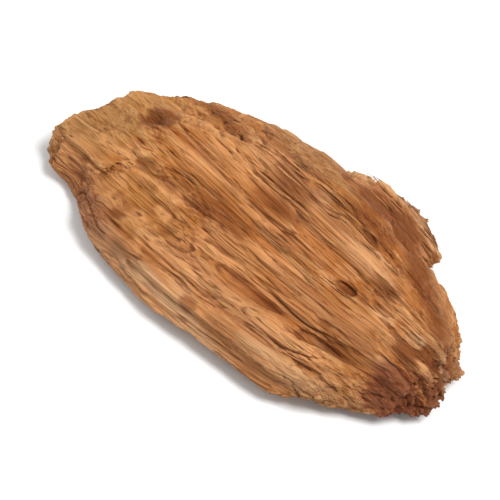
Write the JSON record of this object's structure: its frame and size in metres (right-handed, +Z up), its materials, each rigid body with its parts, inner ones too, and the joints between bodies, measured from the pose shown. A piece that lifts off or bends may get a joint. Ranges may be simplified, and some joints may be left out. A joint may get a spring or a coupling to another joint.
{
  "type": "agarwood piece",
  "caption": "Single hewn and split chip of resinous agarwood heartwood, oblong, ragged at its ends, lying on its split underside.",
  "frame": {"origin": "on the plane that the chip rests on, under the middle of its plan", "axes": "+X along the grain towards the broken end, +Y across the grain towards the thick torn edge, +Z up from the resting plane"},
  "size_m": [0.0372, 0.0202, 0.0063],
  "materials": {
    "agarwood": "raw split and hewn resinous heartwood, oily satin"
  },
  "bodies": {
    "root": {"agarwood_chip": "agarwood"}
  },
  "joints": []
}
